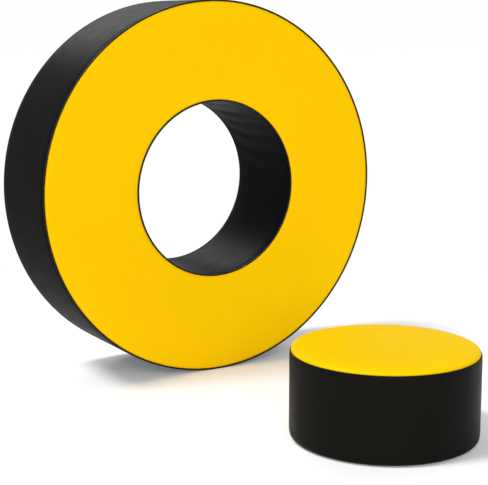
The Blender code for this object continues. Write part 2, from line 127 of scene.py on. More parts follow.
# Stage: camera, world, floor, and the lamps with their direction, spread in degrees and strength
CAMERA_PLACE = (-1.519, -2.7667, 0.8560)
CAMERA_YAW = 31.13
CAMERA_PITCH = -9.94
FOCAL_PIXELS = 1250
PHOTO_WIDTH = 488
SENSOR = 36.0
AMBIENT = 0.26
WHITE = (1, 1, 1, 1)
FLOOR_HALF = 30.0
FLOOR_CENTRE = (0.05, -0.30, 0)
FLOOR_NEAR = 0.75
FLOOR_FAR = 1.7
FLOOR_PALE = (0.872, 0.88, 0.895)
FLOOR_LIFT = 0.11
FLOOR_GLOW = 0.90
LAMPS = {
    "front_softbox": ((-0.44, -0.81, 0.36), 45, 1.90),
    "left_softbox": ((-0.49, 0.12, 0.86), 16, 2.0),
    "back_softbox": ((0.15, 0.84, 0.52), 28, 1.0),
    "right_fill": ((0.82, 0.28, 0.50), 60, 0.5),
}


class TackleWheelSizes(bpy.types.PropertyGroup):
    """Sizes of the wheel and its core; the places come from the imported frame."""

    rim_radius: FloatProperty(
        name="Rim radius", description="Radius of the tread", default=0.457, unit="LENGTH"
    )
    hole_radius: FloatProperty(
        name="Hole radius", description="Radius of the open centre", default=0.213, unit="LENGTH"
    )
    core_radius: FloatProperty(
        name="Core radius", description="Radius of the core's wall", default=0.200, unit="LENGTH"
    )
    vinyl: FloatProperty(
        name="Vinyl", description="Thickness of the cover", default=0.0012, unit="LENGTH"
    )
    seat: FloatProperty(
        name="Seat gap", description="Gap between pieces that touch", default=0.0003, unit="LENGTH"
    )
    welt_radius: FloatProperty(
        name="Piping radius", description="Radius of the wheel's piping", default=0.0022, unit="LENGTH"
    )
    core_welt_radius: FloatProperty(
        name="Core piping radius", description="Radius of the core's seam cord", default=0.0014,
        unit="LENGTH",
    )
    face_roll: FloatProperty(
        name="Face roll", description="Width over which a face rounds into its seam", default=0.012,
        unit="LENGTH",
    )
    face_fall: FloatProperty(
        name="Face fall", description="How far a face dips into its seam", default=0.003, unit="LENGTH"
    )
    face_crown: FloatProperty(
        name="Face crown", description="Swell of the face over its foam", default=0.0012, unit="LENGTH"
    )
    band_roll: FloatProperty(
        name="Band roll", description="Width over which a band draws in at its seams", default=0.018,
        unit="LENGTH",
    )
    band_draw: FloatProperty(
        name="Band draw", description="How far a band is drawn in at its seams", default=0.0026,
        unit="LENGTH",
    )
    fold_depth: FloatProperty(
        name="Fold depth", description="Height of the soft folds in the sleeve", default=0.0016,
        unit="LENGTH",
    )
    fold_count: IntProperty(
        name="Folds", description="Number of soft folds round the sleeve", default=52
    )
    fold_most: FloatProperty(
        name="Highest fold", description="Height that no fold of the sleeve passes", default=0.004,
        unit="LENGTH",
    )
    sleeve_slack: FloatProperty(
        name="Sleeve slack", description="Length to spare round the sleeve, as a share", default=0.028,
        subtype="FACTOR", min=0.0, max=0.1,
    )


class TackleWheelZips(bpy.types.PropertyGroup):
    """Sizes of the two zips."""

    tape_width: FloatProperty(
        name="Tape width", description="Width of one woven tape", default=0.013, unit="LENGTH"
    )
    tape_thickness: FloatProperty(
        name="Tape thickness", description="Thickness of the tape", default=0.0007, unit="LENGTH"
    )
    tape_split: FloatProperty(
        name="Tape split", description="Gap between the two tapes", default=0.0008, unit="LENGTH"
    )
    chain_width: FloatProperty(
        name="Chain width", description="Width of the closed teeth", default=0.008, unit="LENGTH"
    )
    chain_height: FloatProperty(
        name="Chain height", description="Height of the teeth", default=0.0022, unit="LENGTH"
    )
    tooth_pitch: FloatProperty(
        name="Tooth pitch", description="Distance from tooth to tooth on one side", default=0.0036,
        unit="LENGTH",
    )
    stitch_pitch: FloatProperty(
        name="Stitch pitch", description="Distance from stitch to stitch", default=0.0044, unit="LENGTH"
    )
    wheel_inset: FloatProperty(
        name="Wheel zip inset", description="From the rim to the wheel's zip", default=0.045,
        unit="LENGTH",
    )
    slider_edge: FloatProperty(
        name="Slider edge", description="Rounding of the slider's and pull's edges", default=0.0004,
        unit="LENGTH",
    )


class TackleWheelColours(bpy.types.PropertyGroup):
    """Colours of the finishes, in linear light."""

    yellow: FloatVectorProperty(
        name="Yellow vinyl", description="Colour of the faces", default=(0.94, 0.56, 0.0015),
        subtype="COLOR",
    )
    core_yellow: FloatVectorProperty(
        name="Core yellow", description="Colour of the core's top", default=(0.85, 0.54, 0.0020),
        subtype="COLOR",
    )
    black: FloatVectorProperty(
        name="Black vinyl", description="Colour of the bands", default=(0.0060, 0.0060, 0.0056),
        subtype="COLOR",
    )
    warm_black: FloatVectorProperty(
        name="Core black", description="Colour of the core's wall", default=(0.0062, 0.0058, 0.0046),
        subtype="COLOR",
    )
    foam: FloatVectorProperty(
        name="Foam", description="Colour of the foam", default=(0.62, 0.60, 0.54), subtype="COLOR"
    )
    tape: FloatVectorProperty(
        name="Zip tape", description="Colour of the woven tape", default=(0.014, 0.014, 0.015),
        subtype="COLOR",
    )
    hardware: FloatVectorProperty(
        name="Zip hardware", description="Colour of teeth, slider and pull", default=(0.045, 0.045, 0.048),
        subtype="COLOR",
    )


# Meshes


def stacked(*parts):
    """The parts, each stretched to the same shape, along a last axis."""
    return np.stack(np.broadcast_arrays(*parts), -1)


def grid_quads(rows, columns, wrap_rows=False, wrap_columns=True):
    """Quads of a grid: each joins a point, the next in its row, and the two below them."""
    i = np.arange(rows if wrap_rows else rows - 1)[:, None]
    j = np.arange(columns if wrap_columns else columns - 1)[None, :]
    below = (i + 1) % rows
    beside = (j + 1) % columns
    corners = (i * columns + j, i * columns + beside, below * columns + beside, below * columns + j)
    return stacked(*corners).reshape(-1, 4)


def add_object(name, data):
    """A new object in the scene, at the origin."""
    made = bpy.data.objects.new(name, data)
    bpy.context.scene.collection.objects.link(made)
    return made


def new_object(name, points, quads, smooth=True):
    """An object from points in any array shape and quads of their numbers."""
    mesh = bpy.data.meshes.new(name)
    mesh.from_pydata(points.reshape(-1, 3), [], quads)
    mesh.polygons.foreach_set("use_smooth", np.full(len(mesh.polygons), smooth))
    mesh.update()
    return add_object(name, mesh)


def surface(name, points, outward, wrap_rows=False, wrap_columns=True):
    """An object from a grid of points. Its quads are turned over where the first one that has a
    real area looks away from the outward direction."""
    quads = grid_quads(*points.shape[:2], wrap_rows, wrap_columns)
    flat = points.reshape(-1, 3)
    a, b, c, d = (flat[quads[:, k]] for k in range(4))
    normals = np.cross(c - a, d - b)
    areas = np.linalg.norm(normals, axis=1)
    first = np.argmax(areas > areas.max() / 100)
    if normals[first] @ outward <= 0:
        quads = quads[:, ::-1]
    return new_object(name, points, quads)


def merge_doubles(made, distance=1e-7, turn_out=False):
    """Joins points that coincide, such as those at a pole, and may turn the faces outwards."""
    weld = bmesh.new()
    weld.from_mesh(made.data)
    bmesh.ops.remove_doubles(weld, verts=weld.verts[:], dist=distance)
    if turn_out:
        bmesh.ops.recalc_face_normals(weld, faces=weld.faces[:])
    weld.to_mesh(made.data)
    weld.free()


def thicken(made, thickness):
    """Turns an outer surface into a sheet that thickens inwards."""
    wall = made.modifiers.new("vinyl", "SOLIDIFY")
    wall.thickness = thickness
    wall.offset = -1.0


def dress(made, body, material, nodes=()):
    """Gives a piece its material, body, slot and the nodes it stands for."""
    made.data.materials.clear()
    made.data.materials.append(finish(material))
    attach(made, body)
    if nodes:
        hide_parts(*nodes)


def piping_ring(name, points, body, node):
    """A cord that closes both ways."""
    made = surface(name, points, (1, 0, 0), wrap_rows=True)
    dress(made, body, "piping", [node])


def cover(name, points, outward, thickness, body, material, node, pole=False):
    """A piece from a grid that closes round the axis, or in a pole, and thickens inwards."""
    made = surface(name, points, outward)
    if pole:
        merge_doubles(made)
    thicken(made, thickness)
    dress(made, body, material, [node])


def angles(count):
    """A row of this many angles, evenly round a circle."""
    return np.arange(count)[None, :] / count * math.tau


def pressed_up(height):
    """The height, or nought where that is more, with a short smooth bend between the two."""
    return (height + np.sqrt(height * height + SOFT_BEND * SOFT_BEND)) / 2


def settle(points):
    """Presses what would reach below the floor up to it."""
    points[..., 2] = pressed_up(points[..., 2])
    return points


def about_wheel(radius, along, angle):
    """Points round the wheel's axis: radius and angle in its plane, and the place along Y."""
    x = radius * np.cos(angle)
    z = WHEEL_HEIGHT + radius * np.sin(angle)
    return stacked(x, along, z)


def about_core(radius, height, angle):
    """Points round the core's upright axis."""
    x = CORE_X + radius * np.cos(angle)
    y = CORE_Y + radius * np.sin(angle)
    return stacked(x, y, height)


def quarter_roll(steps):
    """Shares of a quarter ellipse: distance in from the edge, and fall below the crest."""
    theta = np.linspace(0, math.pi / 2, steps)
    return 1 - np.cos(theta), 1 - np.sin(theta)


def rolled(low, high, roll, fall, steps, middle):
    """Places from low to high, and the fall at each: a quarter ellipse at both ends, level between."""
    near, drop = quarter_roll(steps)
    level = np.linspace(low + roll, high - roll, middle)[1:-1]
    places = np.concatenate([low + near * roll, level, high - near[::-1] * roll])
    falls = np.concatenate([drop * fall, np.zeros(len(level)), drop[::-1] * fall])
    return places, falls


def soft_folds(angle, share, count, seed):
    """Soft folds that run across a band: a sum of bell curves in the angle, each with its own
    place, width, lean and bend in radians, height, and fade to one side. share runs from 0 to 1
    across."""
    draw = np.random.default_rng(seed)
    total = np.zeros(np.broadcast(angle, share).shape)
    for k in range(count):
        place = math.tau * (k + draw.uniform(-0.4, 0.4)) / count
        width = draw.uniform(0.03, 0.085)
        height = draw.uniform(0.15, 1.0)
        lean = draw.uniform(-0.22, 0.22)
        fade = draw.uniform(-0.6, 0.6)
        bend = draw.uniform(-0.10, 0.10)
        away = angle - place - lean * (share - 0.5) - bend * np.sin(math.pi * share)
        away = (away + math.pi) % math.tau - math.pi
        strength = np.clip(1 + 2 * fade * (share - 0.5), 0, 2)
        total = total + height * strength * np.exp(-((away / width) ** 2))
    return total


def puckers(angle, distance, gathers, seed):
    """Fine gathers beside a seam: the mean of three waves along it, which dies away as a bell
    curve over their reach."""
    reach, count = gathers
    draw = np.random.default_rng(seed)
    wave, harmonics = 0.0, (1, 1.37, 1.83)
    for harmonic in harmonics:
        wave = wave + np.sin(int(count * harmonic) * angle + draw.uniform(0, math.tau))
    return wave / len(harmonics) * np.exp(-((distance / reach) ** 2))


# Materials


def fill_sockets(node, sockets):
    """Sets each input named here to its number or colour, or links it to the output given."""
    for key, value in sockets.items():
        if isinstance(value, bpy.types.NodeSocket):
            node.id_data.links.new(value, node.inputs[key])
        else:
            node.inputs[key].default_value = value


def add_node(tree, kind, sockets=None, **settings):
    """A shader node of this kind, with its plain settings by name and its inputs by socket."""
    node = tree.nodes.new("ShaderNode" + kind)
    for key, value in settings.items():
        setattr(node, key, value)
    fill_sockets(node, sockets or {})
    return node


def node_material(name):
    """A new material, its node tree and its shader."""
    material = bpy.data.materials.new(name)
    material.use_nodes = True
    tree = material.node_tree
    return material, tree, tree.nodes["Principled BSDF"]


def object_place(tree):
    """The place on the piece, in metres."""
    return add_node(tree, "TexCoord").outputs["Object"]


def noise(tree, place, scale, detail=2.0, roughness=0.5):
    """A cloudy pattern with about this many clouds to the metre."""
    sockets = {"Vector": place, "Scale": scale, "Detail": detail, "Roughness": roughness}
    return add_node(tree, "TexNoise", sockets).outputs["Fac"]


def remap(tree, value, low, high, start=0.3, end=0.7):
    """The value carried over from the range start to end to the range low to high."""
    sockets = {"Value": value, "From Min": start, "From Max": end, "To Min": low, "To Max": high}
    return add_node(tree, "MapRange", sockets).outputs["Result"]


def two_tones(tree, value, first, second):
    """A colour that goes from the first to the second as the value goes from 0 to 1."""
    sockets = {"Factor": value, "A": (*first, 1), "B": (*second, 1)}
    return add_node(tree, "Mix", sockets, data_type="RGBA").outputs["Result"]


def bump(tree, height, distance, strength, below=None):
    """A bump of this height pattern, on top of the one below."""
    sockets = {"Height": height, "Distance": distance, "Strength": strength}
    if below is not None:
        sockets["Normal"] = below
    return add_node(tree, "Bump", sockets).outputs["Normal"]


def vinyl_finish(name, colour, shade, rough, specular, ripple):
    """Coated vinyl: a tone that drifts slightly, a pebbled grain of about a millimetre, and the
    broad ripple of a sheet pulled over foam."""
    material, tree, shader = node_material(name)
    place = object_place(tree)
    drift = remap(tree, noise(tree, place, scale=5.0, detail=3.0), 0.0, 1.0)
    smudge = noise(tree, place, scale=38.0, detail=4.0, roughness=0.6)
    grain = add_node(
        tree, "TexVoronoi", {"Vector": place, "Scale": 820.0, "Smoothness": 0.6},
        feature="SMOOTH_F1",
    )
    ripples = noise(tree, place, scale=9.0, detail=1.0)
    pores = noise(tree, place, scale=2600.0, detail=1.0)
    sheet = bump(tree, ripples, distance=0.004, strength=ripple)
    sheet = bump(tree, pores, distance=0.00005, strength=0.25, below=sheet)
    sheet = bump(tree, grain.outputs["Distance"], distance=0.00016, strength=0.6, below=sheet)
    fill_sockets(shader, {
        "Base Color": two_tones(tree, drift, colour * shade, colour),
        "Roughness": remap(tree, smudge, *rough),
        "Specular IOR Level": specular,
        "Normal": sheet,
    })
    return material


def foam_finish(name, colour):
    """Open-cell foam: a speckle of cells a millimetre or two across."""
    material, tree, shader = node_material(name)
    place = object_place(tree)
    cells = add_node(tree, "TexVoronoi", {"Vector": place, "Scale": 620.0})
    cells = cells.outputs["Distance"]
    pale, dark = np.minimum(colour * 1.08, 1.0), colour * 0.72
    fill_sockets(shader, {
        "Base Color": two_tones(tree, remap(tree, cells, 0.0, 1.0, 0.1, 0.8), pale, dark),
        "Roughness": remap(tree, noise(tree, place, scale=60.0), 0.9, 1.0),
        "Specular IOR Level": 0.1,
        "Normal": bump(tree, cells, distance=0.0006, strength=0.7),
    })
    return material


def tape_finish(name, colour):
    """Woven zip tape: fine ribs along and across it, read from the piece's own map in metres."""
    material, tree, shader = node_material(name)
    place = add_node(tree, "UVMap", uv_map="cloth").outputs["UV"]
    ribs, weft = (
        add_node(
            tree, "TexWave", {"Vector": place, "Scale": scale}, bands_direction=direction
        ).outputs["Fac"]
        for direction, scale in (("X", 330.0), ("Y", 420.0))
    )
    across = bump(tree, weft, distance=0.00012, strength=0.6)
    fill_sockets(shader, {
        "Base Color": two_tones(tree, ribs, colour, colour * 2.1),
        "Roughness": remap(tree, weft, 0.78, 0.95, 0, 1),
        "Specular IOR Level": 0.25,
        "Normal": bump(tree, ribs, distance=0.00015, strength=0.8, below=across),
    })
    return material


def hardware_finish(name, colour, metallic, rough, specular):
    """Moulded teeth or enamelled metal: nearly even, with worn patches in the gloss."""
    material, tree, shader = node_material(name)
    place = object_place(tree)
    wear = noise(tree, place, scale=210.0, detail=3.0)
    fill_sockets(shader, {
        "Base Color": two_tones(tree, remap(tree, wear, 0, 1, 0.45, 0.75), colour, colour * 1.7),
        "Roughness": remap(tree, wear, *rough),
        "Metallic": metallic,
        "Specular IOR Level": specular,
        "Normal": bump(tree, noise(tree, place, scale=900.0), distance=0.00004, strength=0.4),
    })
    return material


# Each finish: its maker, its colour, and what else its maker takes
FINISHES = {
    "yellow_cover": (vinyl_finish, "yellow", 0.968, (0.42, 0.50), 0.008, 0.10),
    "black_cover": (vinyl_finish, "black", 0.82, (0.34, 0.42), 0.0045, 0.22),
    "sleeve_cover": (vinyl_finish, "black", 0.82, (0.32, 0.40), 0.007, 0.22),
    "core_yellow_cover": (vinyl_finish, "core_yellow", 0.968, (0.42, 0.50), 0.006, 0.10),
    "core_black_cover": (vinyl_finish, "warm_black", 0.86, (0.40, 0.48), 0.030, 0.15),
    "piping": (vinyl_finish, "black", 0.9, (0.18, 0.25), 0.13, 0.0),
    "foam_cells": (foam_finish, "foam"),
    "woven_tape": (tape_finish, "tape"),
    "moulded_teeth": (hardware_finish, "hardware", 0.0, (0.32, 0.44), 0.5),
    "thread": (hardware_finish, "hardware", 0.0, (0.5, 0.6), 0.4),
    "enamel": (hardware_finish, "hardware", 0.9, (0.24, 0.38), 0.5),
}


def finish(name):
    """The material of this name, made the first time that it is asked for."""
    if name in bpy.data.materials:
        return bpy.data.materials[name]
    maker, colour, *rest = FINISHES[name]
    return maker(name, np.array(getattr(bpy.context.scene.tackle_colours, colour)), *rest)


# Wheel


def seam_reach(sizes):
    """How far its piping keeps a cover's edge from the seam's corner."""
    return 2 * sizes.welt_radius + sizes.seat


def face_edges(sizes):
    """The radii at which a face meets its inner and its outer seam."""
    return sizes.hole_radius + seam_reach(sizes), sizes.rim_radius - seam_reach(sizes)


def face_surface(sizes, side, low, high, seed):
    """The ring of a face between two radii: rows are its radii, columns its angles. The whole
    face is rolled at both seams and crowned by half a sine wave between them."""
    inner, outer = face_edges(sizes)
    radii, falls = rolled(inner, outer, sizes.face_roll, sizes.face_fall, steps=14, middle=34)
    share = np.clip((radii - inner) / (outer - inner), 0, 1)
    heights = HALF_THICKNESS - falls + sizes.face_crown * np.sin(math.pi * share)
    rows = np.union1d(radii[(radii >= low) & (radii <= high)], [low, high])
    heights = np.interp(rows, radii, heights)[:, None]
    rows = rows[:, None]
    angle = angles(AROUND)
    gather = puckers(angle, outer - rows, RIM_GATHERS, seed)
    gather = gather + puckers(angle, rows - inner, HOLE_GATHERS, seed + 1)
    return about_wheel(rows, side * (heights + FACE_GATHER * gather), angle)


def band_rows(sizes, steps, middle, free):
    """Rows across the tread or the sleeve: the place of each along Y, how far it is drawn in, its
    share of the way across, its distance from the nearer seam, and how free it is of the seam."""
    half = HALF_THICKNESS - seam_reach(sizes)
    places, falls = rolled(-half, half, sizes.band_roll, sizes.band_draw, steps, middle)
    places, falls = places[:, None], falls[:, None]
    away = np.minimum(places + half, half - places)
    return places, falls, (places + half) / (2 * half), away, 1 - np.exp(-((away / free) ** 2))


def tread_surface(sizes, seed):
    """The tread: rows run across it, columns round it."""
    places, falls, share, away, free = band_rows(sizes, steps=12, middle=44, free=0.020)
    angle = angles(AROUND)
    folds = soft_folds(angle, share, 22, seed) * sizes.fold_depth * TREAD_SHARE * free
    gather = puckers(angle, away, TREAD_GATHERS, seed + 3) * BAND_GATHER
    return about_wheel(sizes.rim_radius - falls + folds + gather, places, angle)


def settled_cloth(laid, cut, held, frames, gravity):
    """Lets a sheet settle by cloth simulation and returns its points. It starts as laid, its
    threads are as long as in the shape it was cut to, and its held rows stay where they are, so
    the length to spare goes into folds between them."""
    rows, columns = laid.shape[:2]
    trial = new_object("sleeve_trial", laid, grid_quads(rows, columns))
    trial.shape_key_add(name="as_laid")
    pattern = trial.shape_key_add(name="as_cut")
    pattern.data.foreach_set("co", cut.astype(np.float32).ravel())
    pins = trial.vertex_groups.new(name="seams")
    numbers = np.arange(rows * columns).reshape(rows, columns)
    pins.add(numbers[held].ravel().tolist(), 1.0, "REPLACE")
    drape = trial.modifiers.new("drape", "CLOTH")
    cloth = drape.settings
    cloth.quality = 6
    cloth.mass = 0.05
    cloth.air_damping = 2.0
    cloth.tension_stiffness = cloth.compression_stiffness = 30
    cloth.shear_stiffness = 12
    cloth.bending_stiffness = 6
    cloth.vertex_group_mass = pins.name
    cloth.rest_shape_key = pattern
    cloth.effector_weights.gravity = gravity
    drape.point_cache.frame_start = 1
    drape.point_cache.frame_end = frames
    scene = bpy.context.scene
    for number in range(1, frames + 1):
        scene.frame_set(number)
    settled = trial.evaluated_get(bpy.context.evaluated_depsgraph_get()).data
    points = np.empty(rows * columns * 3, np.float32)
    settled.vertices.foreach_get("co", points)
    scene.frame_set(1)
    mesh = trial.data
    bpy.data.objects.remove(trial)
    bpy.data.meshes.remove(mesh)
    return points.reshape(rows, columns, 3).astype(float)


def sleeve_surface(sizes, seed):
    """The sleeve: a tube with a little length to spare round it, sewn at both ends and settled
    by cloth simulation. What would press into the foam behind it lies flat on the foam instead."""
    places, falls, share, _, free = band_rows(sizes, steps=7, middle=42, free=0.030)
    angle = angles(SLEEVE_AROUND)
    seam_line = sizes.hole_radius + falls
    folds = soft_folds(angle, share, sizes.fold_count, seed) * sizes.fold_depth * free
    laid = about_wheel(seam_line - LAID_SHARE * folds, places, angle)
    cut = about_wheel(seam_line * (1 + sizes.sleeve_slack), places, angle)
    settled = settled_cloth(laid, cut, held=[0, 1, -2, -1], frames=24, gravity=0.15)
    folds = seam_line - np.hypot(settled[..., 0], settled[..., 2] - WHEEL_HEIGHT)
    folds = sizes.fold_most * np.tanh(pressed_up(folds) / sizes.fold_most) * free
    return about_wheel(seam_line - folds, places, angle)


def round_cord(radius, height, thickness, place, around, sides=12):
    """Piping: a circle of this thickness, which wavers slightly, carried round the axis."""
    turn = angles(sides).T
    angle = angles(around)
    fast, slow = CORD_WAVES
    wobble = 1 + CORD_WOBBLE * np.sin(fast * angle) * np.sin(slow * angle + 1.0)
    return place(
        radius + thickness * wobble * np.cos(turn), height + thickness * wobble * np.sin(turn), angle
    )


def turned_block(outline, place, around, corner, steps=3):
    """A ring whose section is this closed outline of (radius, height) points, its corners cut
    back by the corner size and rounded by a quadratic curve through each."""
    points = np.array(outline, float)[:, None]
    start, end = (
        points + way / np.linalg.norm(way, axis=2, keepdims=True) * corner
        for way in (np.roll(points, 1, 0) - points, np.roll(points, -1, 0) - points)
    )
    t = np.linspace(0, 1, steps + 1)[None, :, None]
    section = ((1 - t) ** 2 * start + 2 * t * (1 - t) * points + t * t * end).reshape(-1, 2)
    return place(section[:, :1], section[:, 1:], angles(around))


def make_wheel_foam(sizes):
    """Three slabs that fill the cover, clear of the bands where these are drawn in."""
    lining = sizes.vinyl + sizes.seat
    ease = sizes.band_draw + sizes.seat
    outer = sizes.rim_radius - lining - ease
    inner = sizes.hole_radius + lining + ease
    top = HALF_THICKNESS - lining
    for k, name in enumerate(("front", "middle", "back")):
        low = -top + 2 * top * k / 3 + (sizes.seat / 2 if k else 0)
        high = -top + 2 * top * (k + 1) / 3 - (sizes.seat / 2 if k < 2 else 0)
        outline = [(inner, low), (outer, low), (outer, high), (inner, high)]
        points = settle(turned_block(outline, about_wheel, FOAM_AROUND, corner=0.010))
        made = surface(f"foam_slab_{name}", points, (0, -1, 0), wrap_rows=True)
        dress(made, "wheel", "foam_cells", [f"wheel_foam_{name}"])


def make_wheel_faces(sizes, zips):
    """The photographed face, and the back face in two rings that meet under the zip."""
    inner, outer = face_edges(sizes)
    middle = sizes.rim_radius - zips.wheel_inset
    for piece, node, side, low, high, seed in (
        ("front_face_cover", "wheel_face_front", -1, inner, outer, 3),
        ("back_face_inner_cover", "wheel_face_back_inner", 1, inner, middle - HALF_SLIT, 5),
        ("back_face_outer_cover", "wheel_face_back_outer", 1, middle + HALF_SLIT, outer, 5),
    ):
        points = face_surface(sizes, side, low, high, seed)
        cover(piece, points, (0, side, 0), sizes.vinyl, "wheel", "yellow_cover", node)


def make_wheel_bands(sizes):
    """The tread, flat where it stands, and the sleeve with its soft folds."""
    cover(
        "tread_cover", settle(tread_surface(sizes, seed=11)), (1, 0, 0), sizes.vinyl, "wheel",
        "black_cover", "wheel_tread_band",
    )
    cover(
        "sleeve_cover", sleeve_surface(sizes, seed=29), (-1, 0, 0), sizes.vinyl, "wheel",
        "sleeve_cover", "wheel_sleeve_band",
    )


def make_wheel_piping(sizes):
    """Piping in the four seams."""
    height = HALF_THICKNESS - sizes.welt_radius
    rim = sizes.rim_radius - sizes.welt_radius - sizes.seat
    hole = sizes.hole_radius + sizes.welt_radius + sizes.seat
    for side, level in (("front", -height), ("back", height)):
        for edge, radius in (("rim", rim), ("hole", hole)):
            points = settle(round_cord(radius, level, sizes.welt_radius, about_wheel, AROUND))
            piping_ring(f"piping_{side}_{edge}", points, "wheel", f"wheel_welt_{side}_{edge}")


# Core


def crown_rows(radius, low, high, rows, spacing=2.6, flatness=3.4, shoulder=0.30):
    """Radii from the middle to the seam and the crown's height at each: a superellipse, closer
    spaced towards the seam."""
    share = 1 - (1 - np.linspace(0, 1, rows)) ** spacing
    rise = (1 - share**flatness) ** shoulder
    return radius * share, low + (high - low) * rise


def foam_disc(name, outline, node):
    """A solid of revolution: the outline's points, from pole to pole, carried round the core's
    axis as rows, each row at a pole then merged into one point."""
    section = np.array(outline, float)
    points = about_core(section[:, :1], section[:, 1:], angles(CORE_FOAM_AROUND))
    made = new_object(name, points, grid_quads(*points.shape[:2]), smooth=False)
    merge_doubles(made, turn_out=True)
    dress(made, "core", "foam_cells", [node])


def make_core_foam(sizes):
    """Two glued discs, the upper one crowned under the top."""
    lining = sizes.vinyl + sizes.seat
    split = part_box("core_foam_upper")[0][2]
    full = sizes.core_radius - lining
    foot = [(full - inset, rise) for inset, rise in FOAM_FOOT]
    head = split - sizes.seat
    outline = [(0, lining), (full - FOAM_HEM, lining), *foot, (full, head), (0, head)]
    foam_disc("core_foam_slab_lower", outline, "core_foam_lower")
    radius, height = crown_rows(
        sizes.core_radius - FOAM_CROWN_INSET, SEAM_HEIGHT, CROWN_HEIGHT - FOAM_CROWN_DROP, 24
    )
    shoulder = [(full - inset, SEAM_HEIGHT - drop) for inset, drop in FOAM_SHOULDER]
    outline = [*zip(radius, height), *shoulder, (full, split), (0, split)]
    foam_disc("core_foam_slab_upper", outline, "core_foam_upper")


def core_top_surface(sizes):
    """The top: rows run out from the middle of the crown to the seam, with gathers beside it."""
    seam = sizes.core_radius - TOP_INSET
    radius, height = (v[:, None] for v in crown_rows(seam, SEAM_HEIGHT, CROWN_HEIGHT, 64))
    angle = angles(CORE_AROUND)
    gather = puckers(angle, seam - radius, CORE_GATHERS, seed=17) * BAND_GATHER
    return about_core(radius, height + gather * (radius < seam - TOP_SEAM), angle)


def core_wall_surface(sizes):
    """The wall: rows run up it, drawn in at the foot and the head by quarter ellipses."""
    foot, head = WALL_BOX[:, 2]
    rows = rolled(foot, head, roll=0.016, fall=1.0, steps=10, middle=30)
    levels, falls = (v[:, None] for v in rows)
    draw = np.where(levels < (foot + head) / 2, FOOT_DRAW, HEAD_DRAW) * falls
    angle = angles(CORE_AROUND)
    share = (levels - foot) / (head - foot)
    folds = soft_folds(angle, share, count=15, seed=41) * CORE_FOLD * (1 - falls)
    return about_core(sizes.core_radius - draw + folds, levels, angle)


def core_base_surface(sizes):
    """The base: rows run from its edge, down a quarter ellipse, and in to the middle. The edge
    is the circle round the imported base's corners."""
    low, high = np.array(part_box("core_base"), float)
    edge = (high[0] - low[0]) / 2 / math.cos(math.pi / CORE_SIDES)
    near, drop = quarter_roll(10)
    flat = np.linspace(edge - BASE_ROLL, 0, 24)[1:]
    radii = np.concatenate([edge - near * BASE_ROLL, flat])
    heights = np.concatenate([(high[2] - sizes.vinyl) * drop, np.zeros(len(flat))])
    return about_core(radii[:, None], heights[:, None] + BASE_LIFT, angles(CORE_AROUND))


def make_core_covers(sizes):
    """The crowned yellow top, the black wall and the black base."""
    cover(
        "core_top_cover", core_top_surface(sizes), (0, 0, 1), sizes.vinyl, "core",
        "core_yellow_cover", "core_top", pole=True,
    )
    cover(
        "core_wall_cover", core_wall_surface(sizes), (1, 0, 0), sizes.vinyl, "core",
        "core_black_cover", "core_side_band",
    )
    cover(
        "core_base_cover", core_base_surface(sizes), (0, 0, -1), sizes.vinyl, "core",
        "core_black_cover", "core_base", pole=True,
    )


def make_core_piping(sizes):
    """The cords in the core's two seams."""
    for edge in ("top", "base"):
        low, high = np.array(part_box(f"core_welt_{edge}"), float)
        radius = (high[0] - low[0]) / 2 - sizes.core_welt_radius
        level = (low[2] + high[2]) / 2
        points = round_cord(radius, level, sizes.core_welt_radius, about_core, CORE_AROUND)
        piping_ring(f"core_piping_{edge}", points, "core", f"core_welt_{edge}")


# Zips


@dataclass
class ZipPath:
    """The route of a zip: an arc on the wheel's back face, or on the core's wall."""

    name: str
    radius: float
    level: float
    start: float
    sweep: float
    place: object
    on_wall: bool

    def points(self, along, across, out):
        """Points at this distance along the zip, across it, and out from its seat."""
        angle = self.start + along / self.radius
        if self.on_wall:
            return self.place(self.radius + out, self.level + across, angle)
        return self.place(self.radius + across, self.level + out, angle)

    @property
    def length(self):
        """The length of the arc."""
        return self.sweep * self.radius

    @property
    def outward(self):
        """The way out from the seat, where the zip starts."""
        return self.points(0.0, 0.0, 1.0) - self.points(0.0, 0.0, 0.0)


def swept_angles(node, centre, axes):
    """Where a packed tape starts and how far it runs, anticlockwise in the plane of the two axes.
    The widest gap between its points is where it isn't."""
    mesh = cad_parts[node].data
    points = np.empty(len(mesh.vertices) * 3, np.float32)
    mesh.vertices.foreach_get("co", points)
    flat = points.reshape(-1, 3)[:, axes] - np.array(centre)
    found = np.unique(np.round(np.arctan2(flat[:, 1], flat[:, 0]) % math.tau, 6))
    gaps = np.diff(np.append(found, found[0] + math.tau))
    widest = np.argmax(gaps)
    return found[(widest + 1) % len(found)], math.tau - gaps[widest]


def wheel_zip_path(sizes, zips):
    """The route round the wheel's back face."""
    start, sweep = swept_angles("wheel_zip_tape_lower", (0, WHEEL_HEIGHT), (0, 2))
    radius = sizes.rim_radius - zips.wheel_inset
    return ZipPath("wheel", radius, HALF_THICKNESS, start, sweep, about_wheel, False)


def core_zip_path(sizes, zips):
    """The route round the core's wall."""
    start, sweep = swept_angles("core_zip_tape_lower", (CORE_X, CORE_Y), (0, 1))
    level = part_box("core_zip_tape_lower")[1][2] + zips.tape_split / 2
    return ZipPath("core", sizes.core_radius, level, start, sweep, about_core, True)


def add_cloth_map(made, rows, columns, width, length):
    """Gives a tape a UV map in metres: u across its rows, v along its columns."""
    corner = np.zeros(len(made.data.loops), np.int32)
    made.data.loops.foreach_get("vertex_index", corner)
    u = corner // columns / (rows - 1) * width
    v = corner % columns / columns * length
    layer = made.data.uv_layers.new(name="cloth")
    layer.data.foreach_set("uv", np.stack([u, v], -1).astype(np.float32).ravel())


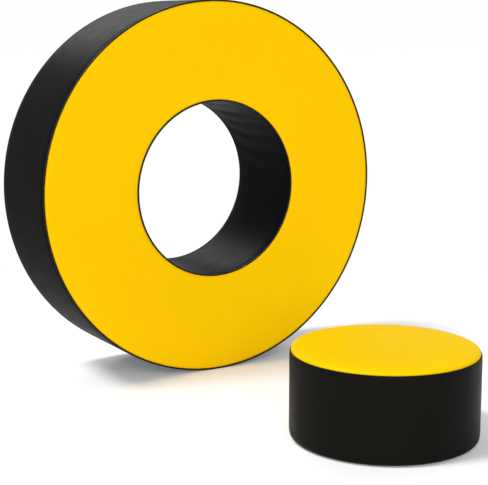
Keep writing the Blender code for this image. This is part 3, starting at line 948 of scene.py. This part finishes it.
def tape_piece(path, sizes, zips, side):
    """A woven tape: rows across it, columns along it, thickened towards its seat. It has a low
    ridge beside the teeth, a bell curve across it, and a fine wave along it."""
    columns = int(path.length / TAPE_STEP)
    along = np.linspace(0, path.length, columns)[None, :]
    inner = zips.tape_split / 2
    across = np.linspace(inner, inner + zips.tape_width, TAPE_ROWS)[:, None] * side
    beside = (np.abs(across) - inner - RIDGE_PLACE) / RIDGE_WIDTH
    weave = WEAVE_HEIGHT * np.sin(along / WEAVE_LENGTH)
    out = sizes.seat + zips.tape_thickness + RIDGE_HEIGHT * np.exp(-(beside**2)) + weave
    name = "upper" if side > 0 else "lower"
    points = path.points(along, across, out)
    made = surface(f"{path.name}_zip_tape_{name}_woven", points, path.outward, wrap_columns=False)
    add_cloth_map(made, TAPE_ROWS, columns, zips.tape_width, path.length)
    thicken(made, zips.tape_thickness)
    dress(made, path.name, "woven_tape", [f"{path.name}_zip_tape_{name}"])


def bead(columns, rows, power):
    """A rounded block within a unit cube: a superellipsoid's rows run from pole to pole."""
    u = angles(columns)
    v = np.linspace(-math.pi / 2, math.pi / 2, rows)[:, None]

    def soft(value):
        return np.sign(value) * np.abs(value) ** power

    x = soft(np.cos(v)) * soft(np.cos(u))
    y = soft(np.cos(v)) * soft(np.sin(u))
    return stacked(x, y, soft(np.sin(v))) / 2


def two_rows(steps, shift, offset, level):
    """Centres in a row on each side of a zip's middle, the upper row shifted along."""
    lower = stacked(steps, -offset, level)
    return np.concatenate([lower, stacked(steps + shift, offset, level)])


def scattered(name, path, unit, centres, size):
    """Copies of a unit bead along a zip, in one array: each centre, and the size of all of them,
    is (along, across, out)."""
    rows, columns = unit.shape[:2]
    shape = unit[None] * np.array(size) + centres[:, None, None, :]
    points = path.points(shape[..., 0], shape[..., 1], shape[..., 2])
    offsets = np.arange(len(centres))[:, None, None] * rows * columns
    quads = (grid_quads(rows, columns)[None] + offsets).reshape(-1, 4)
    made = new_object(name, points, quads)
    merge_doubles(made, turn_out=True)
    return made


def chain_piece(path, sizes, zips):
    """Two rows of teeth that mesh: each row's teeth stand between the other's."""
    count = int((path.length - 2 * FIRST_TOOTH) / zips.tooth_pitch)
    steps = FIRST_TOOTH + (np.arange(count) + TOOTH_START) * zips.tooth_pitch
    half = zips.chain_width / 2
    reach = half + TOOTH_LAP
    level = sizes.seat + zips.tape_thickness + CHAIN_SEAT + zips.chain_height / 2
    centres = two_rows(steps, zips.tooth_pitch / 2, half - reach / 2, level)
    size = (zips.tooth_pitch * TOOTH_SHARE, reach, zips.chain_height)
    made = scattered(f"{path.name}_zip_teeth", path, bead(8, 5, 0.45), centres, size)
    dress(made, path.name, "moulded_teeth", [f"{path.name}_zip_chain"])


def stitch_piece(path, sizes, zips):
    """The rows of thread that hold both tapes down."""
    steps = (np.arange(int(path.length / zips.stitch_pitch)) + 0.5) * zips.stitch_pitch
    level = sizes.seat + zips.tape_thickness + STITCH_SEAT
    centres = two_rows(steps, 0.0, zips.tape_split / 2 + zips.tape_width - STITCH_INSET, level)
    size = (zips.stitch_pitch * STITCH_SHARE, *STITCH_SECTION)
    made = scattered(f"{path.name}_zip_stitches", path, bead(6, 4, 0.8), centres, size)
    dress(made, path.name, "thread")


def softened_copy(node, name, body, material, width):
    """A CAD node's own shape with its edges rounded."""
    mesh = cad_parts[node].data.copy()
    mesh.name = name
    made = add_object(name, mesh)
    merge_doubles(made, 1e-6)
    mesh.polygons.foreach_set("use_smooth", np.full(len(mesh.polygons), False))
    edge = made.modifiers.new("edges", "BEVEL")
    edge.width = width
    edge.segments = 2
    edge.limit_method = "ANGLE"
    edge.angle_limit = math.radians(35)
    edge.use_clamp_overlap = True
    dress(made, body, material, [node])


def make_zip(path, sizes, zips):
    """Everything of one zip: tapes, thread, teeth, stops, slider and pull."""
    name, edge = path.name, zips.slider_edge
    for side in (-1, 1):
        tape_piece(path, sizes, zips, side)
    stitch_piece(path, sizes, zips)
    chain_piece(path, sizes, zips)
    for node, piece, body, slot, material, width in (
        ("stop_start", "zip_end_stop_start", "", "zip_plastic", "moulded_teeth", edge),
        ("stop_end", "zip_end_stop_end", "", "zip_plastic", "moulded_teeth", edge),
        ("slider", "slider_body", "_slider", "zip_metal", "enamel", edge / 2),
        ("pull", "pull_tab", "_pull", "zip_metal", "enamel", edge),
    ):
        softened_copy(f"{name}_zip_{node}", f"{name}_{piece}", name + body, material, width)


def make_zip_patch(path, sizes, zips):
    """The vinyl patch over the slit between the wheel zip's two ends, swelling a little to its
    middle line."""
    end = math.tau * path.radius - sizes.seat
    along = np.linspace(path.length + sizes.seat, end, 60)[None, :]
    half = zips.tape_split / 2 + zips.tape_width
    across = np.linspace(-half, half, 15)[:, None]
    out = PATCH_TOP + PATCH_SWELL * np.cos(across / half * math.pi / 2)
    points = path.points(along, across, out)
    made = surface("wheel_zip_end_patch", points, path.outward, wrap_columns=False)
    thicken(made, PATCH_THICKNESS)
    dress(made, "wheel", "piping", ["wheel_zip_patch"])


# Stage


def calculated(tree, operation, *values):
    """The result of a Math node on these numbers or outputs."""
    return add_node(tree, "Math", dict(enumerate(values)), operation=operation).outputs[0]


def seen_directly(tree):
    """1 for a ray that shows the background as it is: from the camera, a gloss or a clear piece."""
    rays = add_node(tree, "LightPath").outputs
    value = calculated(tree, "MAXIMUM", rays["Is Camera Ray"], rays["Is Glossy Ray"])
    return calculated(tree, "MAXIMUM", value, rays["Is Transmission Ray"])


def stage_floor():
    """A wide pale floor that is lit near the object, so it keeps the shadows there, and passes
    with the distance into a floor that glows as brightly as the lit one looks. Seen directly it
    glows a little more, which makes it plain white."""
    ends = np.array([-FLOOR_HALF, FLOOR_HALF])
    x, y = np.meshgrid(ends, ends)
    floor = surface("floor", stacked(x, y, 0.0), (0, 0, 1), wrap_columns=False)
    material, tree, shader = node_material("floor_paint")
    away = add_node(tree, "VectorMath", {0: object_place(tree), 1: FLOOR_CENTRE}, operation="DISTANCE")
    far = add_node(
        tree, "MapRange",
        {"Value": away.outputs["Value"], "From Min": FLOOR_NEAR, "From Max": FLOOR_FAR},
        interpolation_type="SMOOTHSTEP",
    ).outputs["Result"]
    glow = calculated(tree, "MULTIPLY", far, FLOOR_GLOW)
    fill_sockets(shader, {
        "Base Color": two_tones(tree, far, FLOOR_PALE, (0, 0, 0)),
        "Roughness": 0.9,
        "Specular IOR Level": 0.0,
        "Emission Color": WHITE,
        "Emission Strength": calculated(tree, "MULTIPLY_ADD", seen_directly(tree), FLOOR_LIFT, glow),
    })
    floor.data.materials.append(material)


def stage_world():
    """Soft even light for the object, and a white background."""
    world = bpy.data.worlds.new("studio")
    bpy.context.scene.world = world
    world.use_nodes = True
    tree = world.node_tree
    tree.nodes.clear()
    ambient, white = (
        add_node(tree, "Background", {"Color": WHITE, "Strength": strength}).outputs[0]
        for strength in (AMBIENT, 1.0)
    )
    mix = add_node(tree, "MixShader", {0: seen_directly(tree), 1: ambient, 2: white})
    add_node(tree, "OutputWorld", {"Surface": mix.outputs[0]})


def broad_lamp(name, towards, spread, strength):
    """A lamp so far away that it lights evenly, seen in this direction, as wide as its spread."""
    lamp = bpy.data.lights.new(name, "SUN")
    lamp.angle = math.radians(spread)
    lamp.energy = strength
    made = add_object(name, lamp)
    made.rotation_euler = (-Vector(towards)).to_track_quat("-Z", "Y").to_euler()


def stage_camera():
    """The camera: a level roll, its yaw from +Y towards +X and its pitch up."""
    data = bpy.data.cameras.new("camera")
    data.sensor_width = SENSOR
    data.sensor_fit = "HORIZONTAL"
    data.lens = FOCAL_PIXELS / PHOTO_WIDTH * SENSOR
    data.clip_end = 200
    made = add_object("camera", data)
    made.location = CAMERA_PLACE
    made.rotation_euler = (math.radians(90 + CAMERA_PITCH), 0, math.radians(-CAMERA_YAW))
    bpy.context.scene.camera = made


def make_stage():
    """The floor, the world, the lamps and the camera."""
    stage_floor()
    stage_world()
    for name, (towards, spread, strength) in LAMPS.items():
        broad_lamp(name, towards, spread, strength)
    stage_camera()
    bpy.context.scene.view_settings.view_transform = "Standard"


class TACKLE_OT_wheel_foam(bpy.types.Operator):
    """Fill the wheel with its foam slabs"""

    bl_idname = "tackle.wheel_foam"
    bl_label = "Wheel foam"

    def execute(self, context):
        make_wheel_foam(context.scene.tackle_sizes)
        return {"FINISHED"}


class TACKLE_OT_wheel_faces(bpy.types.Operator):
    """Cover the wheel's two faces"""

    bl_idname = "tackle.wheel_faces"
    bl_label = "Wheel faces"

    def execute(self, context):
        make_wheel_faces(context.scene.tackle_sizes, context.scene.tackle_zips)
        return {"FINISHED"}


class TACKLE_OT_wheel_bands(bpy.types.Operator):
    """Cover the tread and line the hole"""

    bl_idname = "tackle.wheel_bands"
    bl_label = "Tread and sleeve"

    def execute(self, context):
        make_wheel_bands(context.scene.tackle_sizes)
        return {"FINISHED"}


class TACKLE_OT_wheel_piping(bpy.types.Operator):
    """Pipe the wheel's four seams"""

    bl_idname = "tackle.wheel_piping"
    bl_label = "Wheel piping"

    def execute(self, context):
        make_wheel_piping(context.scene.tackle_sizes)
        return {"FINISHED"}


class TACKLE_OT_wheel_zip(bpy.types.Operator):
    """Sew the zip into the wheel's back face"""

    bl_idname = "tackle.wheel_zip"
    bl_label = "Wheel zip"

    def execute(self, context):
        sizes, zips = context.scene.tackle_sizes, context.scene.tackle_zips
        path = wheel_zip_path(sizes, zips)
        make_zip(path, sizes, zips)
        make_zip_patch(path, sizes, zips)
        return {"FINISHED"}


class TACKLE_OT_core_foam(bpy.types.Operator):
    """Fill the core with its foam discs"""

    bl_idname = "tackle.core_foam"
    bl_label = "Core foam"

    def execute(self, context):
        make_core_foam(context.scene.tackle_sizes)
        return {"FINISHED"}


class TACKLE_OT_core_covers(bpy.types.Operator):
    """Cover the core's top, wall and base"""

    bl_idname = "tackle.core_covers"
    bl_label = "Core covers"

    def execute(self, context):
        make_core_covers(context.scene.tackle_sizes)
        return {"FINISHED"}


class TACKLE_OT_core_piping(bpy.types.Operator):
    """Lay the cords in the core's seams"""

    bl_idname = "tackle.core_piping"
    bl_label = "Core piping"

    def execute(self, context):
        make_core_piping(context.scene.tackle_sizes)
        return {"FINISHED"}


class TACKLE_OT_core_zip(bpy.types.Operator):
    """Sew the zip onto the core's wall"""

    bl_idname = "tackle.core_zip"
    bl_label = "Core zip"

    def execute(self, context):
        sizes, zips = context.scene.tackle_sizes, context.scene.tackle_zips
        make_zip(core_zip_path(sizes, zips), sizes, zips)
        return {"FINISHED"}


class TACKLE_OT_stage(bpy.types.Operator):
    """Set up the floor, the light and the camera"""

    bl_idname = "tackle.stage"
    bl_label = "Stage"

    def execute(self, context):
        make_stage()
        return {"FINISHED"}


OPERATORS = (
    TACKLE_OT_wheel_foam,
    TACKLE_OT_wheel_faces,
    TACKLE_OT_wheel_bands,
    TACKLE_OT_wheel_piping,
    TACKLE_OT_wheel_zip,
    TACKLE_OT_core_foam,
    TACKLE_OT_core_covers,
    TACKLE_OT_core_piping,
    TACKLE_OT_core_zip,
    TACKLE_OT_stage,
)


class TACKLE_PT_sidebar(bpy.types.Panel):
    """The sidebar page with a button for each step"""

    bl_idname = "TACKLE_PT_sidebar"
    bl_label = "Tackle wheel"
    bl_space_type = "VIEW_3D"
    bl_region_type = "UI"
    bl_category = "Tackle wheel"

    def draw(self, context):
        column = self.layout.column()
        for operator in OPERATORS:
            column.operator(operator.bl_idname)
        for group in GROUPS:
            settings = getattr(context.scene, group)
            for name in settings.__annotations__:
                column.prop(settings, name)


GROUPS = {
    "tackle_sizes": TackleWheelSizes,
    "tackle_zips": TackleWheelZips,
    "tackle_colours": TackleWheelColours,
}
CLASSES = (*GROUPS.values(), *OPERATORS, TACKLE_PT_sidebar)


def register():
    """Registers the classes and gives the scene its three groups of settings."""
    for made in CLASSES:
        bpy.utils.register_class(made)
    for name, group in GROUPS.items():
        setattr(bpy.types.Scene, name, PointerProperty(type=group))


def unregister():
    """Takes back what register gave."""
    for name in GROUPS:
        delattr(bpy.types.Scene, name)
    for made in reversed(CLASSES):
        bpy.utils.unregister_class(made)


def main():
    """Registers the add-on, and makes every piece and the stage."""
    register()
    bpy.ops.tackle.wheel_foam()
    bpy.ops.tackle.wheel_faces()
    bpy.ops.tackle.wheel_bands()
    bpy.ops.tackle.wheel_piping()
    bpy.ops.tackle.wheel_zip()
    bpy.ops.tackle.core_foam()
    bpy.ops.tackle.core_covers()
    bpy.ops.tackle.core_piping()
    bpy.ops.tackle.core_zip()
    bpy.ops.tackle.stage()
    bpy.context.view_layer.update()


if __name__ == "__main__":
    main()
